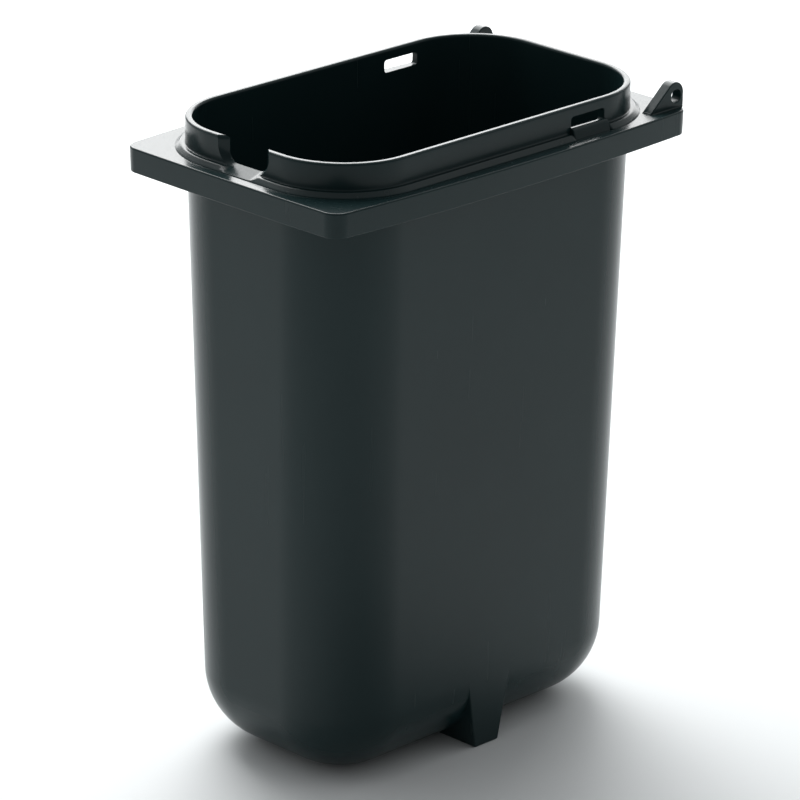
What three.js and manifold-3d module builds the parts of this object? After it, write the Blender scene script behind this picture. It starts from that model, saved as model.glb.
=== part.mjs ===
// Deep drop-in topping jar: one moulding of black plastic, drawn as the members it is built up from.
// Units are millimetres. +Z is up, X runs along the jar's long side, +X is the hinge end.
// The origin is the centre of the base, on the plane the jar stands on.
import * as THREE from "three";
import { mergeVertices } from "three/addons/utils/BufferGeometryUtils.js";
import Module from "manifold-3d";

const wasm = await Module();
wasm.setup();

// ---- driving dimensions ----
const WALL = 3; // moulded wall of the cup
const BODY_LENGTH = 190.8; // outside of the cup under the flange
const BODY_WIDTH = 113.2;
const BODY_CORNER = 35.5; // plan radius of the cup's corners
const DRAFT = 5.5; // how far each side of the cup leans in from the flange to the base
const BOTTOM_ROUND = BODY_CORNER - 3; // edge between walls and base; leaves the base round corners
const BASE_THICKNESS = 3.5;

const FLANGE_TOP = 267.5; // height of the flange's upper face above the base
const PLATE_THICKNESS = 3; // flange plate that bridges from the cup to the skirt
const SKIRT_DROP = 10.75; // full height of the flange's outer side
const SKIRT_WALL = 3;
const FLANGE_END_REACH = 10.2; // how far the flange stands out past the cup at the ends
const FLANGE_SIDE_REACH = 10.65; // and at the long sides
const FLANGE_LENGTH = BODY_LENGTH + 2 * FLANGE_END_REACH; // overall, at mid width
const FLANGE_WIDTH = BODY_WIDTH + 2 * FLANGE_SIDE_REACH; // overall, at mid length
const FLANGE_CORNER = 7.5;
const LONG_SIDE_BOW = 3.5; // the long sides swell outwards by this much at mid length
const SHORT_SIDE_BOW = 0.5;
const FLANGE_EDGE_ROUND = 0.8;

const COLLAR_RISE = 13.5; // collar above the flange's upper face
const COLLAR_REACH = 0.6; // how far the collar's outer face stands out past the cup's
const COLLAR_LENGTH = BODY_LENGTH + 2 * COLLAR_REACH;
const COLLAR_WIDTH = BODY_WIDTH + 2 * COLLAR_REACH;
const COLLAR_CORNER = BODY_CORNER + COLLAR_REACH;
const COLLAR_WALL = WALL + COLLAR_REACH;
const RIM_ROUND = 0.6; // outer edge of the rim
const LEDGE_WIDTH = 4.2; // ledge around the foot of the collar
const LEDGE_TOP_WIDTH = 1.8; // its flat top; from there it slopes down and out
const LEDGE_HEIGHT = 2;
const LEDGE_EDGE = 0.3; // what is left of the ledge's height at its outer edge

const NOTCH_WIDTH = 22.5; // ladle notch in the end wall, at the inner face
const NOTCH_SILL = 2.8; // sill above the flange, at the inner face
const NOTCH_CORNER = 4.5;
const NOTCH_FLARE = 3.4; // the notch opens out towards the outer face by this much at each side
const NOTCH_FLARE_DEPTH = 3.2; // how much of the wall's thickness the flare takes

const SLOT_LENGTH = 20; // slots through both long walls, just before the hinge end's corners
const SLOT_TO_CORNER = 2; // from the slot's end to where the corner starts to turn
const SLOT_NEAR_END = BODY_LENGTH / 2 - BODY_CORNER - SLOT_TO_CORNER - SLOT_LENGTH;
const SLOT_SILL = 3.2; // above the flange
const SLOT_HEIGHT = 5.6;
const SLOT_CORNER = 1.4;
const RAMP_HEIGHT = 4.5; // steep pad below the slot on the -Y side
const RAMP_FOOT = 3.4; // how far the pad stands out from the wall at the flange
const RAMP_TOP = 1.8; // and at its top
const RAMP_OVERHANG = 0.7; // the pad is this much longer than the slot at each end

const EAR_THICKNESS = 5;
const EAR_OUTER_FACE = BODY_WIDTH / 2 + 2.4; // from the jar's long axis
const EAR_INNER_FACE = EAR_OUTER_FACE - EAR_THICKNESS;
const EAR_TIP = FLANGE_LENGTH / 2 - 0.25; // +X edge of the ears, just inside the flange's end
const EAR_HEIGHT = 11.5;
const EAR_HOLE_BACK = 4.6; // hole centre, back from the +X edge
const EAR_HOLE_HEIGHT = 5.3;
const EAR_HOLE_RADIUS = 3;
const EAR_ROUND = 5.2; // radius of the ear's nose
const EAR_LEDGE_CLEARANCE = 1.5; // flange left bare between the ledge's curve and the ear's heel
const EAR_SLOPE_START = ledgeCurveAt(EAR_INNER_FACE) + EAR_LEDGE_CLEARANCE;

const FOOT_TOP_WIDTH = 25;
const FOOT_BOTTOM_WIDTH = 14;
const FOOT_HEIGHT = BOTTOM_ROUND - 1.5;
const FOOT_LEAN = 0.4; // the foot's outer face leans in by this much towards the ground
const FOOT_DEPTH = BOTTOM_ROUND - 0.5; // how far the foot runs in under the cup
const FOOT_EDGE_ROUND = 0.6;

// ---- derived levels ----
const PLATE_UNDERSIDE = FLANGE_TOP - PLATE_THICKNESS;
const SKIRT_BOTTOM = FLANGE_TOP - SKIRT_DROP;
const RIM_TOP = FLANGE_TOP + COLLAR_RISE;

// ---- smoothness ----
const CORNER_STEPS = 8; // facets in a quarter turn of an outline
const ROUND_STEPS = 7; // facets across the bottom round
const HOLE_STEPS = 20;
const SLOT_CORNER_STEPS = 3;
const EDGE_STEPS = 2; // facets across the small rounded edges
const CHAMFER_STEPS = 1;
const MERGE_DISTANCE = 1e-4; // vertices closer than this are one vertex
const OVERCUT = 6; // how far a cutting body runs past what it cuts

// ---- look ----
const PLASTIC_COLOR = [0.0096, 0.0245, 0.026];
const PLASTIC_ROUGHNESS = 0.42;

// Where the ledge's outer line, turning the hinge end's corner, crosses a distance from the long axis.
function ledgeCurveAt(y) {
  const centreX = BODY_LENGTH / 2 - BODY_CORNER;
  const centreY = BODY_WIDTH / 2 - BODY_CORNER;
  const radius = COLLAR_CORNER + LEDGE_WIDTH;
  return centreX + Math.sqrt(radius ** 2 - (y - centreY) ** 2);
}

// ---- solids ----
// A closed three.js geometry as a solid that can be joined and cut.
function toSolid(geometry) {
  const bare = geometry.index ? geometry.toNonIndexed() : geometry.clone();
  bare.deleteAttribute("normal");
  bare.deleteAttribute("uv");
  const merged = mergeVertices(bare, MERGE_DISTANCE);
  return new wasm.Manifold(
    new wasm.Mesh({
      numProp: 3,
      vertProperties: new Float32Array(merged.attributes.position.array),
      triVerts: new Uint32Array(merged.index.array),
    }),
  );
}

// A solid as a drawable geometry with one normal per facet.
function toGeometry(solid) {
  const mesh = solid.getMesh();
  const positions = new Float32Array(mesh.numVert * 3);
  for (let i = 0; i < mesh.numVert; i++) {
    const start = i * mesh.numProp;
    positions.set(mesh.vertProperties.subarray(start, start + 3), i * 3);
  }
  const indexed = new THREE.BufferGeometry();
  indexed.setAttribute("position", new THREE.BufferAttribute(positions, 3));
  indexed.setIndex(new THREE.BufferAttribute(new Uint32Array(mesh.triVerts), 1));
  const flat = indexed.toNonIndexed();
  flat.computeVertexNormals();
  return flat;
}

// A box between two corners.
function boxSolid(low, high) {
  const size = high.map((value, axis) => value - low[axis]);
  const geometry = new THREE.BoxGeometry(size[0], size[1], size[2]);
  geometry.translate(
    (low[0] + high[0]) / 2,
    (low[1] + high[1]) / 2,
    (low[2] + high[2]) / 2,
  );
  return toSolid(geometry);
}

// Moves every point of a geometry with a rule that takes and returns x, y and z.
function reshape(geometry, rule) {
  const position = geometry.getAttribute("position");
  for (let i = 0; i < position.count; i++) {
    const [x, y, z] = rule(position.getX(i), position.getY(i), position.getZ(i));
    position.setXYZ(i, x, y, z);
  }
  return geometry;
}

// ---- outlines ----
// A rectangle with round corners whose sides may swell outwards, centred on the origin.
function panelOutline(length, width, corner, longBow = 0, shortBow = 0) {
  const x = length / 2 - shortBow;
  const y = width / 2 - longBow;
  const shape = new THREE.Shape();
  const side = (fromX, fromY, toX, toY, bowX, bowY) => {
    if (bowX === 0 && bowY === 0) {
      shape.lineTo(toX, toY);
      return;
    }
    const middleX = (fromX + toX) / 2;
    const middleY = (fromY + toY) / 2;
    shape.quadraticCurveTo(middleX + 2 * bowX, middleY + 2 * bowY, toX, toY);
  };
  shape.moveTo(-x + corner, -y);
  side(-x + corner, -y, x - corner, -y, 0, -longBow);
  shape.absarc(x - corner, -y + corner, corner, -Math.PI / 2, 0, false);
  side(x, -y + corner, x, y - corner, shortBow, 0);
  shape.absarc(x - corner, y - corner, corner, 0, Math.PI / 2, false);
  side(x - corner, y, -x + corner, y, 0, longBow);
  shape.absarc(-x + corner, y - corner, corner, Math.PI / 2, Math.PI, false);
  side(-x, y - corner, -x, -y + corner, -shortBow, 0);
  shape.absarc(-x + corner, -y + corner, corner, Math.PI, 1.5 * Math.PI, false);
  return shape;
}

// An upright prism over an outline.
function prism(outline, zLow, zHigh) {
  const geometry = new THREE.ExtrudeGeometry(outline, {
    depth: zHigh - zLow,
    bevelEnabled: false,
    curveSegments: CORNER_STEPS,
  });
  geometry.translate(0, 0, zLow);
  return toSolid(geometry);
}

// An upright prism whose upper edge is cut back by a run sideways and a drop downwards.
// One step gives a straight slope, more steps a rounded edge.
function easedPrism(outline, zLow, zHigh, run, drop, steps) {
  const geometry = new THREE.ExtrudeGeometry(outline, {
    depth: zHigh - zLow,
    bevelEnabled: true,
    bevelThickness: drop,
    bevelSize: run,
    bevelOffset: -run,
    bevelSegments: steps,
    curveSegments: CORNER_STEPS,
  });
  geometry.translate(0, 0, zLow - drop);
  const reach = FLANGE_LENGTH;
  const below = boxSolid([-reach, -reach, zLow - OVERCUT], [reach, reach, zLow]);
  return toSolid(geometry).subtract(below);
}

// An upright prism whose upper edge is rounded.
function roundTopPrism(outline, zLow, zHigh, radius) {
  return easedPrism(outline, zLow, zHigh, radius, radius, EDGE_STEPS);
}

// How far the cup's sides have leaned in at a level.
function leanAt(z) {
  return (DRAFT * (PLATE_UNDERSIDE - z)) / PLATE_UNDERSIDE;
}

// The jar's tapering, round-bottomed form, set in from the outside by a wall, up to a level.
function cupForm(inset, floor, top) {
  const length = BODY_LENGTH - 2 * inset;
  const width = BODY_WIDTH - 2 * inset;
  const round = BOTTOM_ROUND - inset;
  const geometry = new THREE.ExtrudeGeometry(
    panelOutline(length, width, BODY_CORNER - inset),
    {
      depth: top - floor,
      bevelEnabled: true,
      bevelThickness: round,
      bevelSize: round,
      bevelOffset: -round,
      bevelSegments: ROUND_STEPS,
      curveSegments: CORNER_STEPS,
    },
  );
  geometry.translate(0, 0, floor + round);
  reshape(geometry, (x, y, z) => {
    const lean = leanAt(z);
    return [x * (1 - (2 * lean) / length), y * (1 - (2 * lean) / width), z];
  });
  const reach = BODY_LENGTH;
  const highest = top + 2 * BOTTOM_ROUND + OVERCUT;
  return toSolid(geometry).subtract(boxSolid([-reach, -reach, top], [reach, reach, highest]));
}

// The space inside the jar, from the floor out through the mouth.
function cavity() {
  return cupForm(WALL, BASE_THICKNESS, RIM_TOP + OVERCUT);
}

// ---- members ----
// One foot below the rounded edge, on the side given by +1 or -1.
function sideFoot(side) {
  const front = new THREE.Shape();
  front.moveTo(-FOOT_BOTTOM_WIDTH / 2, 0);
  front.lineTo(FOOT_BOTTOM_WIDTH / 2, 0);
  front.lineTo(FOOT_TOP_WIDTH / 2, FOOT_HEIGHT);
  front.lineTo(-FOOT_TOP_WIDTH / 2, FOOT_HEIGHT);
  const geometry = new THREE.ExtrudeGeometry(front, {
    depth: FOOT_DEPTH - 2 * FOOT_EDGE_ROUND,
    bevelEnabled: true,
    bevelThickness: FOOT_EDGE_ROUND,
    bevelSize: FOOT_EDGE_ROUND,
    bevelOffset: -FOOT_EDGE_ROUND,
    bevelSegments: EDGE_STEPS,
  });
  geometry.translate(0, 0, FOOT_EDGE_ROUND);
  geometry.rotateX(Math.PI / 2);
  geometry.translate(0, BODY_WIDTH / 2 - leanAt(FOOT_HEIGHT), 0);
  reshape(geometry, (x, y, z) => [x, y - FOOT_LEAN * (1 - z / FOOT_HEIGHT), z]);
  if (side < 0) geometry.rotateZ(Math.PI);
  return toSolid(geometry);
}

function jarShell() {
  const outside = cupForm(0, 0, PLATE_UNDERSIDE);
  return outside.add(sideFoot(1)).add(sideFoot(-1)).subtract(cavity());
}

function rimFlange() {
  const outline = panelOutline(
    FLANGE_LENGTH,
    FLANGE_WIDTH,
    FLANGE_CORNER,
    LONG_SIDE_BOW,
    SHORT_SIDE_BOW,
  );
  const channel = panelOutline(
    FLANGE_LENGTH - 2 * SKIRT_WALL,
    FLANGE_WIDTH - 2 * SKIRT_WALL,
    FLANGE_CORNER - SKIRT_WALL,
    LONG_SIDE_BOW,
    SHORT_SIDE_BOW,
  );
  return roundTopPrism(outline, SKIRT_BOTTOM, FLANGE_TOP, FLANGE_EDGE_ROUND)
    .subtract(prism(channel, SKIRT_BOTTOM - OVERCUT, PLATE_UNDERSIDE))
    .subtract(cavity());
}

// The space above the notch's sill, narrow at the collar's inner face and flared at the outer one.
function notchCutter() {
  const outline = new THREE.Shape();
  const half = NOTCH_WIDTH / 2;
  const ceiling = COLLAR_RISE + OVERCUT;
  const cornerX = half - NOTCH_CORNER;
  const cornerY = NOTCH_SILL + NOTCH_CORNER;
  outline.moveTo(-half, ceiling);
  outline.lineTo(-half, cornerY);
  outline.absarc(-cornerX, cornerY, NOTCH_CORNER, Math.PI, 1.5 * Math.PI, false);
  outline.lineTo(cornerX, NOTCH_SILL);
  outline.absarc(cornerX, cornerY, NOTCH_CORNER, -Math.PI / 2, 0, false);
  outline.lineTo(half, ceiling);
  const straight = new THREE.ExtrudeGeometry(outline, {
    depth: COLLAR_WALL + 2 * OVERCUT,
    bevelEnabled: false,
    curveSegments: CORNER_STEPS,
  });
  straight.translate(0, 0, -OVERCUT);
  const flared = new THREE.ExtrudeGeometry(outline, {
    depth: OVERCUT,
    bevelEnabled: true,
    bevelThickness: NOTCH_FLARE_DEPTH,
    bevelSize: NOTCH_FLARE,
    bevelSegments: CHAMFER_STEPS,
    curveSegments: CORNER_STEPS,
  });
  flared.translate(0, 0, COLLAR_WALL);
  return [straight, flared]
    .map((geometry) => {
      // The outline's own x becomes the jar's Y, its y becomes Z, and the extrusion runs out along -X.
      reshape(geometry, (x, y, z) => [WALL - BODY_LENGTH / 2 - z, -x, FLANGE_TOP + y]);
      return toSolid(geometry);
    })
    .reduce((sum, solid) => sum.add(solid));
}

// One cutter that opens the slots in both long walls.
function slotCutter() {
  const outline = panelOutline(SLOT_LENGTH, SLOT_HEIGHT, SLOT_CORNER);
  const geometry = new THREE.ExtrudeGeometry(outline, {
    depth: BODY_WIDTH + 2 * OVERCUT,
    bevelEnabled: false,
    curveSegments: SLOT_CORNER_STEPS,
  });
  geometry.rotateX(Math.PI / 2);
  geometry.translate(
    SLOT_NEAR_END + SLOT_LENGTH / 2,
    BODY_WIDTH / 2 + OVERCUT,
    FLANGE_TOP + SLOT_SILL + SLOT_HEIGHT / 2,
  );
  return toSolid(geometry);
}

// The notch's sill: it slopes from the collar's inner face down to the ledge's outer edge.
function notchSill() {
  const run = COLLAR_WALL + LEDGE_WIDTH;
  const profile = new THREE.Shape();
  profile.moveTo(-WALL, 0);
  profile.lineTo(run, 0);
  profile.lineTo(run, LEDGE_EDGE);
  profile.lineTo(0, NOTCH_SILL);
  profile.lineTo(-WALL, NOTCH_SILL);
  const width = NOTCH_WIDTH + 2 * NOTCH_FLARE;
  const geometry = new THREE.ExtrudeGeometry(profile, { depth: width, bevelEnabled: false });
  // The profile's x runs out along -X from the inner face, its y is Z, and the extrusion runs along Y.
  reshape(geometry, (x, y, z) => [WALL - BODY_LENGTH / 2 - x, z - width / 2, FLANGE_TOP + y]);
  return toSolid(geometry);
}

// The ledge stops short of both slots.
function ledgeGaps() {
  const outY = COLLAR_WIDTH / 2;
  const reach = LEDGE_WIDTH + OVERCUT;
  const low = FLANGE_TOP - OVERCUT;
  const high = FLANGE_TOP + LEDGE_HEIGHT + OVERCUT;
  const slotLow = SLOT_NEAR_END - RAMP_OVERHANG;
  const slotHigh = SLOT_NEAR_END + SLOT_LENGTH + RAMP_OVERHANG;
  return [
    boxSolid([slotLow, outY, low], [slotHigh, outY + reach, high]),
    boxSolid([slotLow, -outY - reach, low], [slotHigh, -outY, high]),
  ];
}

function mouthCollar() {
  const wall = roundTopPrism(
    panelOutline(COLLAR_LENGTH, COLLAR_WIDTH, COLLAR_CORNER),
    FLANGE_TOP,
    RIM_TOP,
    RIM_ROUND,
  );
  const ledgeOutline = panelOutline(
    COLLAR_LENGTH + 2 * LEDGE_WIDTH,
    COLLAR_WIDTH + 2 * LEDGE_WIDTH,
    COLLAR_CORNER + LEDGE_WIDTH,
  );
  let ledge = easedPrism(
    ledgeOutline,
    FLANGE_TOP,
    FLANGE_TOP + LEDGE_HEIGHT,
    LEDGE_WIDTH - LEDGE_TOP_WIDTH,
    LEDGE_HEIGHT - LEDGE_EDGE,
    CHAMFER_STEPS,
  );
  for (const gap of ledgeGaps()) ledge = ledge.subtract(gap);
  return wall
    .add(ledge)
    .subtract(notchCutter())
    .add(notchSill())
    .subtract(cavity())
    .subtract(slotCutter());
}

// The steep pad that leads a catch up to the near slot.
function latchRamp() {
  const profile = new THREE.Shape();
  profile.moveTo(-RAMP_FOOT, 0);
  profile.lineTo(0, 0);
  profile.lineTo(0, RAMP_HEIGHT);
  profile.lineTo(-RAMP_TOP, RAMP_HEIGHT);
  const geometry = new THREE.ExtrudeGeometry(profile, {
    depth: SLOT_LENGTH + 2 * RAMP_OVERHANG,
    bevelEnabled: false,
  });
  // The profile's x runs out from the wall towards -Y, and the extrusion runs along X.
  reshape(geometry, (x, y, z) => [
    SLOT_NEAR_END - RAMP_OVERHANG + z,
    x - COLLAR_WIDTH / 2,
    FLANGE_TOP + y,
  ]);
  return toSolid(geometry);
}

// One hinge ear: a pierced plate with a sloped edge, on the side given by +1 or -1.
function hingeEar(side) {
  const noseX = EAR_TIP - EAR_ROUND;
  const noseZ = EAR_HEIGHT - EAR_ROUND;
  // The sloped edge touches the nose circle: its direction follows from the tangent to that circle.
  const toNoseX = noseX - EAR_SLOPE_START;
  const reach = Math.hypot(toNoseX, noseZ);
  const slope = Math.atan2(noseZ, toNoseX) + Math.asin(EAR_ROUND / reach);
  const outline = new THREE.Shape();
  outline.moveTo(EAR_SLOPE_START, 0);
  outline.lineTo(EAR_TIP, 0);
  outline.lineTo(EAR_TIP, noseZ);
  outline.absarc(noseX, noseZ, EAR_ROUND, 0, slope + Math.PI / 2, false);
  const hole = new THREE.Path();
  hole.absarc(EAR_TIP - EAR_HOLE_BACK, EAR_HOLE_HEIGHT, EAR_HOLE_RADIUS, 0, 2 * Math.PI, true);
  outline.holes.push(hole);
  const geometry = new THREE.ExtrudeGeometry(outline, {
    depth: EAR_THICKNESS,
    bevelEnabled: false,
    curveSegments: HOLE_STEPS,
  });
  geometry.rotateX(Math.PI / 2);
  const outerFace = side > 0 ? EAR_OUTER_FACE : -EAR_INNER_FACE;
  geometry.translate(0, outerFace, FLANGE_TOP);
  return toSolid(geometry);
}

// ---- materials ----
function blackPlastic(name) {
  const material = new THREE.MeshStandardMaterial({
    color: new THREE.Color(...PLASTIC_COLOR),
    roughness: PLASTIC_ROUGHNESS,
    metalness: 0,
  });
  material.name = name;
  return material;
}

// ---- the jar ----
function addMember(group, name, solid) {
  const mesh = new THREE.Mesh(toGeometry(solid), blackPlastic(name));
  mesh.name = name;
  group.add(mesh);
}

const jar = new THREE.Group();
jar.name = "topping_jar";
addMember(jar, "jar_shell", jarShell());
addMember(jar, "rim_flange", rimFlange());
addMember(jar, "mouth_collar", mouthCollar());
addMember(jar, "latch_ramp", latchRamp());
addMember(jar, "hinge_ear_near", hingeEar(-1));
addMember(jar, "hinge_ear_far", hingeEar(1));

export default jar;
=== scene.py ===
"""Looks of the deep drop-in topping jar: one black plastic moulding on a pale studio floor."""

import math

import bmesh
import bpy
from mathutils import Matrix, Vector


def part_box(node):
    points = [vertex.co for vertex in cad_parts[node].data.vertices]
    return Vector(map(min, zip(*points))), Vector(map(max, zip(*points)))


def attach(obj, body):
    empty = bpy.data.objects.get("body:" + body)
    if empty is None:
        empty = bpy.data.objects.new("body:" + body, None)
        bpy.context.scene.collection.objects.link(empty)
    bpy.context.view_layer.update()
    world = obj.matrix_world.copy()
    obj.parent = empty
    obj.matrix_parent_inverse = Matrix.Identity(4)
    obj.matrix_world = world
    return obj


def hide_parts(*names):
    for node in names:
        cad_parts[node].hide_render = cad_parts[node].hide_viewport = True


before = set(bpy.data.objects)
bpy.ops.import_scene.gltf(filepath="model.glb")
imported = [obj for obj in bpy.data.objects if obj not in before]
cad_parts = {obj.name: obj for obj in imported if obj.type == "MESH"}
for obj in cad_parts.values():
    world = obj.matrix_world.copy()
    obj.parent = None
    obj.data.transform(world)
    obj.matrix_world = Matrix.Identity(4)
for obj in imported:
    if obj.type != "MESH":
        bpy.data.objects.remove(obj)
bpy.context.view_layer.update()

# Everything below is in millimetres until a mesh is made.
MM = 0.001


def node_box(node):
    """Lowest and highest corner of a CAD node, in millimetres."""
    low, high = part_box(node)
    return low / MM, high / MM


shell_high = node_box("jar_shell")[1]
flange_low, flange_high = node_box("rim_flange")
collar_high = node_box("mouth_collar")[1]
ramp_low, ramp_high = node_box("latch_ramp")
ear_low, ear_high = node_box("hinge_ear_far")

# ---- sizes that follow the CAD nodes ----
HALF_LENGTH = shell_high.x
HALF_WIDTH = shell_high.y
PLATE_UNDERSIDE = shell_high.z
FLANGE_TOP = flange_high.z
SKIRT_BOTTOM = flange_low.z
FLANGE_HALF_LENGTH = flange_high.x
FLANGE_HALF_WIDTH = flange_high.y
RIM_TOP = collar_high.z

# ---- sizes of the moulding's details ----
WALL = 3.0
BODY_CORNER = 35.5
COLLAR_REACH = 0.6
COLLAR_CORNER = BODY_CORNER + COLLAR_REACH
COLLAR_HALF_LENGTH = HALF_LENGTH + COLLAR_REACH
COLLAR_HALF_WIDTH = HALF_WIDTH + COLLAR_REACH
COLLAR_WALL = WALL + COLLAR_REACH
LEDGE_WIDTH = collar_high.x - COLLAR_HALF_LENGTH
DRAFT = 5.5
BOTTOM_ROUND = BODY_CORNER - 3.0
BASE_THICKNESS = 3.5
SKIRT_WALL = 3.0
SKIRT_DRAFT = 0.25
FLANGE_CORNER = 7.5
LONG_SIDE_BOW = 3.5
SHORT_SIDE_BOW = 0.5
FLANGE_EDGE_ROUND = 0.8
SKIRT_EDGE_ROUND = 0.3
UNDERSIDE_FILLET = 0.8
RIM_OUTER_ROUND = 1.1
RIM_INNER_ROUND = 1.2
COLLAR_FILLET = 0.5
LEDGE_TOP_WIDTH = 1.8
LEDGE_HEIGHT = 2.0
LEDGE_EDGE = 0.3
LEDGE_WALL_FILLET = 0.5
LEDGE_END_EASE = 0.9  # length over which each end of the ledge rounds down
NOTCH_HALF_WIDTH = 11.25
NOTCH_SILL = 2.8
NOTCH_CORNER = 4.5
NOTCH_FLARE = 3.4
NOTCH_INNER_ROUND = 0.5
NOTCH_OUTER_ROUND = 0.45
NOTCH_TOP_ROUND_NEAR = 0.5
NOTCH_TOP_ROUND_FAR = 2.0
SLOT_LOW = 3.2
SLOT_HIGH = 8.8
SLOT_CORNER = 1.4
SLOT_EDGE_ROUND = 0.45
SLOT_END_INSET = 0.7
RAMP_ROUND = 0.5
RAMP_FOOT = 3.4
RAMP_TOP = 1.8
RAMP_SHOULDER = 2.6
RAMP_FLAT = 0.25  # flat left on top of the pad, beside the wall
EAR_HOLE_BACK = 4.6
EAR_HOLE_HEIGHT = 5.3
EAR_HOLE_RADIUS = 3.0
EAR_NOSE = 5.2
EAR_EDGE_ROUND = 0.45
EAR_FILLET = 0.55
FOOT_HALF_TOP = 12.5
FOOT_HALF_BOTTOM = 7.0
FOOT_HEIGHT = BOTTOM_ROUND - 1.5
FOOT_LEAN = 0.3
FOOT_EDGE_ROUND = 0.6
FOOT_INNER_END = 22.6
# Above its height the foot sinks into the wall: (height above it, inset) pairs.
FOOT_FADE = ((2.0, 0.03), (4.0, 0.12), (6.0, 0.35))
BURIED = 1.5  # how deep a joined member reaches into the one that carries it

# ---- mesh density ----
CORNER_STEPS = 26
LONG_SIDE_STEPS = 40
SHORT_SIDE_STEPS = 24
EDGE_STEPS = 5


# ---- mesh helpers ----
def make_object(name, points, faces):
    mesh = bpy.data.meshes.new(name)
    mesh.from_pydata([Vector(p) * MM for p in points], [], faces)
    mesh.validate()
    made = bpy.data.objects.new(name, mesh)
    bpy.context.scene.collection.objects.link(made)
    return made


def loft(name, rings):
    """A closed solid through rings of equally many points, capped flat at both ends."""
    count = len(rings[0])
    points = [p for ring in rings for p in ring]
    faces = []
    for level in range(len(rings) - 1):
        here = level * count
        above = here + count
        for i in range(count):
            j = (i + 1) % count
            faces.append((here + i, here + j, above + j, above + i))
    faces.append(tuple(reversed(range(count))))
    last = (len(rings) - 1) * count
    faces.append(tuple(last + i for i in range(count)))
    return loft_outward(make_object(name, points, faces))


def loft_outward(made):
    """Turns the faces to point out of the solid."""
    work = bmesh.new()
    work.from_mesh(made.data)
    bmesh.ops.recalc_face_normals(work, faces=work.faces)
    if work.calc_volume(signed=True) < 0:
        bmesh.ops.reverse_faces(work, faces=work.faces)
    work.to_mesh(made.data)
    work.free()
    return made


def combine(target, tool, operation):
    """Joins the tool to the target or cuts it out, and removes the tool."""
    modifier = target.modifiers.new("combine", "BOOLEAN")
    modifier.operation = operation
    modifier.solver = "MANIFOLD"
    modifier.object = tool
    bpy.context.view_layer.update()
    evaluated = target.evaluated_get(bpy.context.evaluated_depsgraph_get())
    result = bpy.data.meshes.new_from_object(evaluated)
    target.modifiers.clear()
    old = target.data
    target.data = result
    bpy.data.meshes.remove(old)
    bpy.data.objects.remove(tool)
    return target


def quarter(steps=EDGE_STEPS):
    """Angles from 0 to a quarter turn."""
    return [0.5 * math.pi * i / steps for i in range(steps + 1)]


# ---- outlines seen from above ----
def outline(half_x, half_y, corner, bow_x=0.0, bow_y=0.0):
    """A round-cornered rectangle, counterclockwise, whose sides may swell outwards."""
    inner_x = half_x - bow_x - corner
    inner_y = half_y - bow_y - corner
    points = []
    sides = (
        ((-1, -1), (1, -1), (0, -1), bow_y, LONG_SIDE_STEPS),
        ((1, -1), (1, 1), (1, 0), bow_x, SHORT_SIDE_STEPS),
        ((1, 1), (-1, 1), (0, 1), bow_y, LONG_SIDE_STEPS),
        ((-1, 1), (-1, -1), (-1, 0), bow_x, SHORT_SIDE_STEPS),
    )
    for index, (start, end, out, bow, steps) in enumerate(sides):
        for i in range(steps):
            t = i / steps
            swell = corner + bow * 4 * t * (1 - t)
            points.append(
                (
                    inner_x * (start[0] + (end[0] - start[0]) * t) + out[0] * swell,
                    inner_y * (start[1] + (end[1] - start[1]) * t) + out[1] * swell,
                )
            )
        for i in range(CORNER_STEPS):
            angle = 0.5 * math.pi * (index - 1 + i / CORNER_STEPS)
            points.append(
                (
                    inner_x * end[0] + corner * math.cos(angle),
                    inner_y * end[1] + corner * math.sin(angle),
                )
            )
    return points


def lean(z):
    """How far the cup's sides have leaned in at a level."""
    return DRAFT * (PLATE_UNDERSIDE - z) / PLATE_UNDERSIDE


def body_ring(inset, z, leaned=0.0):
    flat = outline(HALF_LENGTH - inset - leaned, HALF_WIDTH - inset - leaned, BODY_CORNER - inset)
    return [(x, y, z) for x, y in flat]


def cup_ring(inset, z):
    return body_ring(inset, z, lean(z))


def flange_ring(inset, z):
    flat = outline(
        FLANGE_HALF_LENGTH - inset,
        FLANGE_HALF_WIDTH - inset,
        FLANGE_CORNER - inset,
        SHORT_SIDE_BOW,
        LONG_SIDE_BOW,
    )
    return [(x, y, z) for x, y in flat]


def levels(low, high, steps):
    return [low + (high - low) * i / steps for i in range(steps + 1)]


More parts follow.
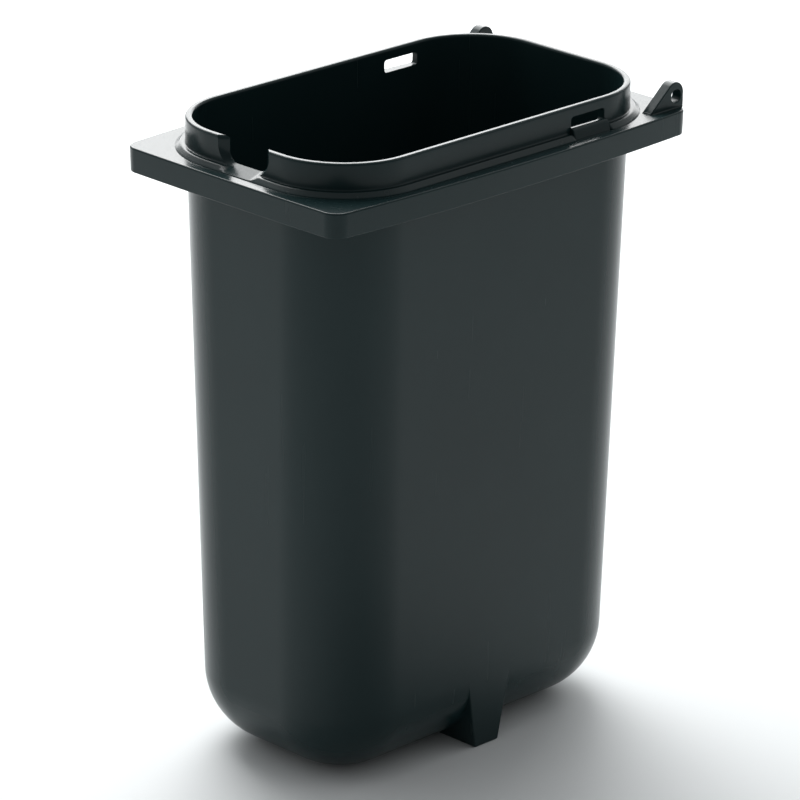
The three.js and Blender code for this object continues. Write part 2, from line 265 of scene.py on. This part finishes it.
# ---- the moulding's members ----
def shell_rings():
    """Up the inside from the floor, over the rim, round the flange and down to the base."""
    rings = []
    inner_round = BOTTOM_ROUND - WALL
    for a in quarter(14):
        rings.append(
            cup_ring(
                WALL + inner_round * (1 - math.sin(a)),
                BASE_THICKNESS + inner_round * (1 - math.cos(a)),
            )
        )
    for z in levels(BASE_THICKNESS + inner_round, RIM_TOP - RIM_INNER_ROUND, 14)[1:]:
        rings.append(cup_ring(WALL, z))
    for a in quarter(4)[1:]:
        r = RIM_INNER_ROUND
        rings.append(cup_ring(WALL - r * (1 - math.cos(a)), RIM_TOP - r * (1 - math.sin(a))))
    for a in reversed(quarter(4)):
        r = RIM_OUTER_ROUND
        inset = r * (1 - math.cos(a)) - COLLAR_REACH
        rings.append(body_ring(inset, RIM_TOP - r * (1 - math.sin(a))))
    for z in levels(RIM_TOP - RIM_OUTER_ROUND, FLANGE_TOP + COLLAR_FILLET, 5)[1:]:
        rings.append(body_ring(-COLLAR_REACH, z))
    for a in quarter(3)[1:]:
        r = COLLAR_FILLET
        inset = -r * (1 - math.cos(a)) - COLLAR_REACH
        rings.append(body_ring(inset, FLANGE_TOP + r * (1 - math.sin(a))))
    for a in reversed(quarter()):
        r = FLANGE_EDGE_ROUND
        rings.append(flange_ring(r * (1 - math.cos(a)), FLANGE_TOP - r * (1 - math.sin(a))))
    r = SKIRT_EDGE_ROUND
    for a in quarter(3):
        rings.append(
            flange_ring(SKIRT_DRAFT + r * (1 - math.cos(a)), SKIRT_BOTTOM + r * (1 - math.sin(a)))
        )
    for a in quarter(3):
        rings.append(
            flange_ring(SKIRT_WALL - r * (1 - math.sin(a)), SKIRT_BOTTOM + r * (1 - math.cos(a)))
        )
    r = UNDERSIDE_FILLET
    for a in quarter(3):
        rings.append(
            flange_ring(SKIRT_WALL + r * (1 - math.cos(a)), PLATE_UNDERSIDE - r * (1 - math.sin(a)))
        )
    for a in quarter(3):
        rings.append(
            body_ring(-r * (1 - math.sin(a)), PLATE_UNDERSIDE - r * (1 - math.cos(a)))
        )
    for z in levels(PLATE_UNDERSIDE - UNDERSIDE_FILLET, BOTTOM_ROUND, 18)[1:]:
        rings.append(cup_ring(0, z))
    for a in reversed(quarter(16)[:-1]):
        rings.append(cup_ring(BOTTOM_ROUND * (1 - math.sin(a)), BOTTOM_ROUND * (1 - math.cos(a))))
    return rings


def path_point(distance):
    """A point on the collar's outer line and the way out, by distance from the near side's -X end."""
    straight_x = 2 * (HALF_LENGTH - BODY_CORNER)
    straight_y = 2 * (HALF_WIDTH - BODY_CORNER)
    turn = 0.5 * math.pi * COLLAR_CORNER
    total = 2 * (straight_x + straight_y) + 4 * turn
    left = distance % total
    angle = -0.5 * math.pi
    x, y = -0.5 * straight_x, -COLLAR_HALF_WIDTH
    for straight in (straight_x, straight_y, straight_x, straight_y):
        along = (-math.sin(angle), math.cos(angle))
        out = (math.cos(angle), math.sin(angle))
        if left <= straight:
            return (x + along[0] * left, y + along[1] * left), out
        left -= straight
        x, y = x + along[0] * straight, y + along[1] * straight
        centre = (x - out[0] * COLLAR_CORNER, y - out[1] * COLLAR_CORNER)
        if left <= turn:
            angle += left / COLLAR_CORNER
            out = (math.cos(angle), math.sin(angle))
            return (centre[0] + out[0] * COLLAR_CORNER, centre[1] + out[1] * COLLAR_CORNER), out
        left -= turn
        angle += 0.5 * math.pi
        x = centre[0] + math.cos(angle) * COLLAR_CORNER
        y = centre[1] + math.sin(angle) * COLLAR_CORNER
    raise ValueError("the path is longer than its own length")


def ledge_section(drop):
    """The ledge's section as (out from the wall, above the flange), smaller by drop at its ends."""
    width = LEDGE_WIDTH - drop
    flat = LEDGE_TOP_WIDTH - 0.4 * drop
    height = LEDGE_HEIGHT - drop
    edge = min(LEDGE_EDGE, 0.5 * height)
    section = [(-BURIED, -BURIED), (width, -BURIED), (width, 0.5 * edge)]
    # The slope is eased at both of its ends.
    section.append((width - 0.15, edge))
    section.append((width - 0.5, edge + 0.18 * (height - edge)))
    section.append((flat + 0.5, height - 0.22 * (height - edge)))
    section.append((flat + 0.15, height - 0.05 * (height - edge)))
    section.append((flat - 0.2, height))
    for a in quarter(3):
        r = LEDGE_WALL_FILLET
        section.append((r * (1 - math.sin(a)), height + r * (1 - math.cos(a))))
    section.append((-BURIED, height + LEDGE_WALL_FILLET))
    return section


def ledge(name, start, end):
    """One run of the ledge between two distances along the collar, with rounded ends."""
    ease = LEDGE_END_EASE
    places = [start + ease * (1 - math.cos(a)) for a in quarter(4)]
    steps = max(8, int((end - start) / 2.5))
    places += levels(start + ease, end - ease, steps)[1:-1]
    places += [end - ease * (1 - math.cos(a)) for a in reversed(quarter(4))]
    rings = []
    for place in places:
        from_end = min(place - start, end - place, ease)
        drop = ease - math.sqrt(max(0.0, ease ** 2 - (ease - from_end) ** 2))
        (x, y), out = path_point(place)
        rings.append(
            [(x + out[0] * o, y + out[1] * o, FLANGE_TOP + z) for o, z in ledge_section(drop)]
        )
    return loft(name, rings)


def shrink(points, amount):
    """Moves a counterclockwise 2-D outline inwards by an amount."""
    moved = []
    for i, p in enumerate(points):
        before = points[i - 1]
        after = points[(i + 1) % len(points)]
        first = Vector((p[0] - before[0], p[1] - before[1])).normalized()
        second = Vector((after[0] - p[0], after[1] - p[1])).normalized()
        normal = Vector((-(first + second).y, (first + second).x)).normalized()
        mitre = max(0.35, normal.dot(Vector((-first.y, first.x))))
        moved.append((p[0] + normal.x * amount / mitre, p[1] + normal.y * amount / mitre))
    return moved


def slab(name, points, low, high, edge, place):
    """An outline given thickness, its edges rounded. place turns (u, v, depth) into x, y, z."""
    rings = []
    for a in quarter(4):
        flat = shrink(points, edge * (1 - math.sin(a)))
        rings.append([place(u, v, low + edge * (1 - math.cos(a))) for u, v in flat])
    for a in reversed(quarter(4)):
        flat = shrink(points, edge * (1 - math.sin(a)))
        rings.append([place(u, v, high - edge * (1 - math.cos(a))) for u, v in flat])
    return loft(name, rings)


def ear(side):
    """One hinge ear with its foot fillet. side is +1 for the far one and -1 for the near one."""
    tip = ear_high.x
    nose_x = tip - EAR_NOSE
    nose_z = ear_high.z - FLANGE_TOP - EAR_NOSE
    heel = ear_low.x
    reach = math.hypot(nose_x - heel, nose_z)
    slope = math.atan2(nose_z, nose_x - heel) + math.asin(EAR_NOSE / reach)
    points = [(heel, -BURIED), (tip, -BURIED), (tip, 0.0)]
    for i in range(25):
        a = (slope + 0.5 * math.pi) * i / 24
        points.append((nose_x + EAR_NOSE * math.cos(a), nose_z + EAR_NOSE * math.sin(a)))
    points.append((heel, 0.0))

    def place(u, v, depth):
        return (u, side * depth, FLANGE_TOP + v)

    plate = slab("ear", points, ear_low.y, ear_high.y, EAR_EDGE_ROUND, place)
    middle_x = 0.5 * (heel + tip)
    middle_y = side * 0.5 * (ear_low.y + ear_high.y)
    half_x = 0.5 * (tip - heel) - 0.5
    half_y = 0.5 * (ear_high.y - ear_low.y)
    rings = []
    for out, z in (
        [(EAR_FILLET, -BURIED)]
        + [(EAR_FILLET * (1 - math.sin(a)), EAR_FILLET * (1 - math.cos(a))) for a in quarter(4)]
        + [(-EAR_EDGE_ROUND, EAR_FILLET + 0.2)]
    ):
        ring = []
        corner = EAR_EDGE_ROUND + EAR_FILLET + out
        for k, (sx, sy) in enumerate(((1, -1), (1, 1), (-1, 1), (-1, -1))):
            for a in quarter(4):
                angle = a + 0.5 * math.pi * (k - 1)
                ring.append(
                    (
                        middle_x + sx * (half_x + out - corner) + corner * math.cos(angle),
                        middle_y + sy * (half_y + out - corner) + corner * math.sin(angle),
                        FLANGE_TOP + z,
                    )
                )
        rings.append(ring)
    return [plate, loft("ear_fillet", rings)]


def wall_depths(thickness, inner_edge, outer_edge, over):
    """(depth from the inner face, growth) pairs of a cutter that opens out at both faces, so that
    the edges it leaves are rounded."""
    pairs = [(-over, inner_edge)]
    for a in quarter(4):
        pairs.append((inner_edge * (1 - math.cos(a)), inner_edge * (1 - math.sin(a))))
    for a in reversed(quarter(8)):
        pairs.append(
            (thickness - outer_edge * (1 - math.cos(a)), outer_edge * (1 - math.sin(a)))
        )
    pairs.append((thickness + over, outer_edge))
    return pairs


def ear_hole(side):
    """The cutter of one ear's hinge hole."""
    centre_x = ear_high.x - EAR_HOLE_BACK
    centre_z = FLANGE_TOP + EAR_HOLE_HEIGHT
    steps = 48

    def ring_at(depth, grow):
        radius = EAR_HOLE_RADIUS + grow
        y = side * (ear_low.y + depth)
        turns = [2 * math.pi * i / steps for i in range(steps)]
        return [
            (centre_x + radius * math.cos(a), y, centre_z + radius * math.sin(a)) for a in turns
        ]

    depths = wall_depths(ear_high.y - ear_low.y, 0.3, 0.3, 1.0)
    return loft("ear_hole", [ring_at(depth, grow) for depth, grow in depths])


def notch():
    """The cutter of the ladle notch in the -X end wall, splayed towards the outer face."""
    top = RIM_TOP - FLANGE_TOP
    above = top + 6.0

    def half_profile(grow, drop, top_round):
        half = NOTCH_HALF_WIDTH + grow
        corner = NOTCH_CORNER + grow
        low = NOTCH_SILL - drop
        points = [(half + top_round, above)]
        for a in reversed(quarter(6)):
            points.append(
                (half + top_round * (1 - math.cos(a)), top - top_round * (1 - math.sin(a)))
            )
        for a in quarter(10):
            points.append((half - corner * (1 - math.cos(a)), low + corner * (1 - math.sin(a))))
        return points

    fall = (NOTCH_SILL - LEDGE_EDGE) / (COLLAR_WALL + LEDGE_WIDTH)
    rings = []
    for depth, grow in notch_depths():
        drop = grow if depth <= 0 else max(0.0, NOTCH_INNER_ROUND - depth) + fall * depth
        far = half_profile(grow, drop, NOTCH_TOP_ROUND_FAR)
        near = half_profile(grow, drop, NOTCH_TOP_ROUND_NEAR)
        flat = far + [(-u, v) for u, v in reversed(near)]
        x = -HALF_LENGTH + WALL - depth
        rings.append([(x, u, FLANGE_TOP + v) for u, v in flat])
    return loft("notch", rings)


def notch_depths():
    """(depth, growth) pairs: rounded inner edge, straight splay, eased outer edge."""
    inner = NOTCH_INNER_ROUND
    outer = NOTCH_OUTER_ROUND
    pairs = [(-5.0, inner)]
    for a in quarter(4):
        pairs.append((inner * (1 - math.cos(a)), inner * (1 - math.sin(a))))
    pairs.append((COLLAR_WALL - outer, NOTCH_FLARE))
    pairs.append((COLLAR_WALL, NOTCH_FLARE + outer))
    pairs.append((COLLAR_WALL + LEDGE_WIDTH + 0.5, NOTCH_FLARE + outer))
    return pairs


def slot(side):
    """The cutter of the slot in one long wall."""
    low_x = ramp_low.x + SLOT_END_INSET
    high_x = ramp_high.x - SLOT_END_INSET

    def ring_at(depth, grow):
        corner = SLOT_CORNER + grow
        ring = []
        centres = (
            (high_x - SLOT_CORNER, SLOT_LOW + SLOT_CORNER),
            (high_x - SLOT_CORNER, SLOT_HIGH - SLOT_CORNER),
            (low_x + SLOT_CORNER, SLOT_HIGH - SLOT_CORNER),
            (low_x + SLOT_CORNER, SLOT_LOW + SLOT_CORNER),
        )
        for k, (cx, cz) in enumerate(centres):
            for a in quarter(6):
                angle = a + 0.5 * math.pi * (k - 1)
                ring.append(
                    (
                        cx + corner * math.cos(angle),
                        side * (HALF_WIDTH - WALL + depth),
                        FLANGE_TOP + cz + corner * math.sin(angle),
                    )
                )
        return ring

    depths = wall_depths(COLLAR_WALL, SLOT_EDGE_ROUND, SLOT_EDGE_ROUND, 3.0)
    return loft("slot", [ring_at(depth, grow) for depth, grow in depths])


def ramp():
    """The steep pad under the near slot, sunk into the wall only below the slot."""
    height = ramp_high.z - FLANGE_TOP
    sunk = SLOT_LOW - 0.4
    run = RAMP_TOP + 0.4
    points = [
        (-RAMP_FOOT, -BURIED),
        (BURIED, -BURIED),
        (BURIED, sunk),
        (0.02, sunk),
        (0.02, height),
        (-RAMP_FLAT, height),
    ]
    for a in quarter(9)[1:-1]:
        points.append(
            (
                -RAMP_FLAT - run * math.sin(a),
                height - RAMP_SHOULDER * (1 - math.cos(a)),
            )
        )
    points += [(-RAMP_FLAT - run, height - RAMP_SHOULDER), (-RAMP_FOOT, 0.1)]

    def place(u, v, depth):
        return (depth, u - COLLAR_HALF_WIDTH, FLANGE_TOP + v)

    return slab("ramp", points, ramp_low.x, ramp_high.x, RAMP_ROUND, place)


def foot(side):
    """One side foot: it follows the middle of the cup's wall inside and leans a little outside."""
    ease = FOOT_EDGE_ROUND
    stack = [(ease * (1 - math.cos(a)), ease * (1 - math.sin(a))) for a in quarter(4)]
    stack += [(z, 0.0) for z in levels(ease, FOOT_HEIGHT, 12)[1:]]
    stack += [(FOOT_HEIGHT + rise, inset) for rise, inset in FOOT_FADE]
    middle = BOTTOM_ROUND - 0.5 * WALL
    rings = []
    for z, inset in stack:
        t = min(1.0, z / FOOT_HEIGHT)
        half = FOOT_HALF_BOTTOM + (FOOT_HALF_TOP - FOOT_HALF_BOTTOM) * z / FOOT_HEIGHT - inset
        face = HALF_WIDTH - lean(z) - FOOT_LEAN * (1 - t) - inset
        below = max(0.0, BOTTOM_ROUND - z)
        arc_centre = HALF_WIDTH - lean(z) - BOTTOM_ROUND
        inner = arc_centre + math.sqrt(max(0.0, middle ** 2 - below ** 2))
        inner = min(max(inner, FOOT_INNER_END), face - 1.0)
        corner = min(FOOT_EDGE_ROUND, face - inner - 0.3)
        ring = [(-half, inner), (half, inner)]
        for a in quarter(5):
            ring.append((half - corner * (1 - math.cos(a)), face - corner * (1 - math.sin(a))))
        for a in reversed(quarter(5)):
            ring.append((-half + corner * (1 - math.cos(a)), face - corner * (1 - math.sin(a))))
        rings.append([(side * x, side * y, z) for x, y in ring])
    return loft("foot", rings)


def build_jar():
    jar = loft("jar_moulding", shell_rings())
    straight_x = 2 * (HALF_LENGTH - BODY_CORNER)
    straight_y = 2 * (HALF_WIDTH - BODY_CORNER)
    turn = 0.5 * math.pi * COLLAR_CORNER
    near_gap_start = ramp_low.x + 0.5 * straight_x
    near_gap_end = ramp_high.x + 0.5 * straight_x
    far_side_start = straight_x + straight_y + 2 * turn
    far_gap_start = far_side_start + 0.5 * straight_x - ramp_high.x
    far_gap_end = far_side_start + 0.5 * straight_x - ramp_low.x
    total = 2 * (straight_x + straight_y) + 4 * turn
    joined = [
        ledge("ledge_hinge_end", near_gap_end, far_gap_start),
        ledge("ledge_notch_end", far_gap_end, total + near_gap_start),
    ]
    for side in (-1, 1):
        joined += ear(side)
        joined.append(foot(side))
    for member in joined:
        combine(jar, member, "UNION")
    for cutter in (notch(), slot(-1), slot(1), ear_hole(-1), ear_hole(1)):
        combine(jar, cutter, "DIFFERENCE")
    combine(jar, ramp(), "UNION")
    return jar


def finish_surface(made):
    """Smooth shading with crisp edges kept crisp."""
    made.data.shade_smooth()
    made.data.set_sharp_from_angle(angle=math.radians(32))
    weighted = made.modifiers.new("even_normals", "WEIGHTED_NORMAL")
    weighted.keep_sharp = True
    weighted.mode = "FACE_AREA"
    weighted.weight = 80


# ---- materials ----
def node(tree, kind, **settings):
    made = tree.nodes.new(kind)
    for key, value in settings.items():
        if key in made.inputs:
            made.inputs[key].default_value = value
        else:
            setattr(made, key, value)
    return made


def black_plastic():
    """Satin black moulded plastic: fine mould grain, faint cloudiness, light scuffs."""
    material = bpy.data.materials.new("black_plastic")
    material.use_nodes = True
    tree = material.node_tree
    tree.nodes.clear()
    link = tree.links.new
    out = node(tree, "ShaderNodeOutputMaterial")
    shader = node(tree, "ShaderNodeBsdfPrincipled", IOR=1.46)
    shader.inputs["Specular IOR Level"].default_value = 0.27
    link(shader.outputs["BSDF"], out.inputs["Surface"])
    place = node(tree, "ShaderNodeTexCoord")

    cloud = node(tree, "ShaderNodeTexNoise", Scale=9.0, Detail=4.0, Roughness=0.55)
    link(place.outputs["Object"], cloud.inputs["Vector"])
    tint = node(tree, "ShaderNodeValToRGB")
    tint.color_ramp.elements[0].position = 0.3
    tint.color_ramp.elements[0].color = (0.0080, 0.0215, 0.0230, 1)
    tint.color_ramp.elements[1].position = 0.72
    tint.color_ramp.elements[1].color = (0.0112, 0.0275, 0.0292, 1)
    link(cloud.outputs["Fac"], tint.inputs["Fac"])
    link(tint.outputs["Color"], shader.inputs["Base Color"])

    stretch = node(tree, "ShaderNodeMapping")
    stretch.inputs["Scale"].default_value = (210.0, 210.0, 9.0)
    link(place.outputs["Object"], stretch.inputs["Vector"])
    scuff = node(tree, "ShaderNodeTexNoise", Scale=1.0, Detail=2.0, Roughness=0.5)
    link(stretch.outputs["Vector"], scuff.inputs["Vector"])
    scuff_mask = node(tree, "ShaderNodeMapRange")
    scuff_mask.inputs["From Min"].default_value = 0.66
    scuff_mask.inputs["From Max"].default_value = 0.78
    scuff_mask.inputs["To Min"].default_value = 0.0
    scuff_mask.inputs["To Max"].default_value = 0.10
    link(scuff.outputs["Fac"], scuff_mask.inputs["Value"])
    satin = node(tree, "ShaderNodeMapRange")
    satin.inputs["From Min"].default_value = 0.25
    satin.inputs["From Max"].default_value = 0.75
    satin.inputs["To Min"].default_value = 0.20
    satin.inputs["To Max"].default_value = 0.28
    link(cloud.outputs["Fac"], satin.inputs["Value"])
    total = node(tree, "ShaderNodeMath", operation="ADD")
    link(satin.outputs["Result"], total.inputs[0])
    link(scuff_mask.outputs["Result"], total.inputs[1])
    link(total.outputs["Value"], shader.inputs["Roughness"])

    grain = node(tree, "ShaderNodeTexNoise", Scale=1500.0, Detail=3.0, Roughness=0.6)
    link(place.outputs["Object"], grain.inputs["Vector"])
    fine = node(tree, "ShaderNodeBump", Strength=0.22, Distance=0.00006)
    link(grain.outputs["Fac"], fine.inputs["Height"])
    wave = node(tree, "ShaderNodeTexNoise", Scale=22.0, Detail=1.0, Roughness=0.4)
    link(place.outputs["Object"], wave.inputs["Vector"])
    broad = node(tree, "ShaderNodeBump", Strength=0.5, Distance=0.00035)
    link(wave.outputs["Fac"], broad.inputs["Height"])
    link(fine.outputs["Normal"], broad.inputs["Normal"])
    link(broad.outputs["Normal"], shader.inputs["Normal"])
    return material


def floor_material():
    material = bpy.data.materials.new("studio_floor")
    material.use_nodes = True
    tree = material.node_tree
    shader = tree.nodes["Principled BSDF"]
    shader.inputs["Base Color"].default_value = (0.84, 0.865, 0.87, 1)
    shader.inputs["Roughness"].default_value = 0.9
    shader.inputs["Specular IOR Level"].default_value = 0.15
    return material


# ---- object ----
jar = build_jar()
finish_surface(jar)
jar.data.materials.clear()
jar.data.materials.append(black_plastic())
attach(jar, "root")
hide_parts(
    "jar_shell",
    "rim_flange",
    "mouth_collar",
    "latch_ramp",
    "hinge_ear_near",
    "hinge_ear_far",
)


# ---- studio ----
def make_floor():
    reach = 12.0
    corners = [(-reach, -reach, 0), (reach, -reach, 0), (reach, reach, 0), (-reach, reach, 0)]
    mesh = bpy.data.meshes.new("studio_floor")
    mesh.from_pydata(corners, [], [(0, 1, 2, 3)])
    made = bpy.data.objects.new("studio_floor", mesh)
    made.data.materials.append(floor_material())
    bpy.context.scene.collection.objects.link(made)


def soft_light(name, place, aim, width, height, radiance):
    """A softbox at a place, turned to an aim, of one radiance whatever its size."""
    data = bpy.data.lights.new(name, "AREA")
    data.shape = "RECTANGLE"
    data.size = width
    data.size_y = height
    data.energy = radiance * math.pi * width * height
    made = bpy.data.objects.new(name, data)
    made.location = place
    direction = Vector(aim) - Vector(place)
    made.rotation_euler = direction.to_track_quat("-Z", "Y").to_euler()
    bpy.context.scene.collection.objects.link(made)


def make_world(front, back):
    """A studio room that is lighter behind the object than in front of it."""
    world = bpy.data.worlds.new("studio")
    world.use_nodes = True
    tree = world.node_tree
    background = tree.nodes["Background"]
    place = node(tree, "ShaderNodeTexCoord")
    toward = node(tree, "ShaderNodeVectorMath", operation="DOT_PRODUCT")
    toward.inputs[1].default_value = (0.60, 0.80, 0.0)
    tree.links.new(place.outputs["Generated"], toward.inputs[0])
    level = node(tree, "ShaderNodeMapRange", interpolation_type="SMOOTHSTEP")
    level.inputs["From Min"].default_value = -0.7
    level.inputs["From Max"].default_value = 0.7
    level.inputs["To Min"].default_value = front
    level.inputs["To Max"].default_value = back
    tree.links.new(toward.outputs["Value"], level.inputs["Value"])
    tree.links.new(level.outputs["Result"], background.inputs["Strength"])
    background.inputs["Color"].default_value = (0.98, 0.99, 1.0, 1)
    bpy.context.scene.world = world


def make_camera():
    azimuth = math.radians(-44.94)
    elevation = math.radians(20.74)
    roll = math.radians(0.60)
    distance = 2.1909
    target = Vector((-0.00274, 0.00380, 0.1442))
    toward = Vector(
        (
            math.sin(azimuth) * math.cos(elevation),
            -math.cos(azimuth) * math.cos(elevation),
            math.sin(elevation),
        )
    )
    right = (-toward).cross(Vector((0, 0, 1))).normalized()
    up = right.cross(-toward)
    right_rolled = right * math.cos(roll) + up * math.sin(roll)
    up_rolled = up * math.cos(roll) - right * math.sin(roll)
    data = bpy.data.cameras.new("camera")
    data.sensor_width = 36.0
    data.lens = 229.95
    data.shift_x = 0.0046
    data.clip_start = 0.01
    data.clip_end = 100.0
    made = bpy.data.objects.new("camera", data)
    turned = Matrix((right_rolled, up_rolled, toward)).transposed().to_4x4()
    made.matrix_world = Matrix.Translation(target + toward * distance) @ turned
    bpy.context.scene.collection.objects.link(made)
    bpy.context.scene.camera = made


make_floor()
make_world(0.2, 0.8)
soft_light("back_softbox", (1.7, 1.7, 1.0), (0, 0, 0.15), 2.6, 1.3, 3.8)
soft_light("top_softbox", (0.5, 0.95, 1.3), (-0.05, 0.1, 0), 1.2, 1.2, 6.0)
make_camera()
bpy.context.scene.view_settings.view_transform = "Standard"
bpy.context.scene.view_settings.look = "None"
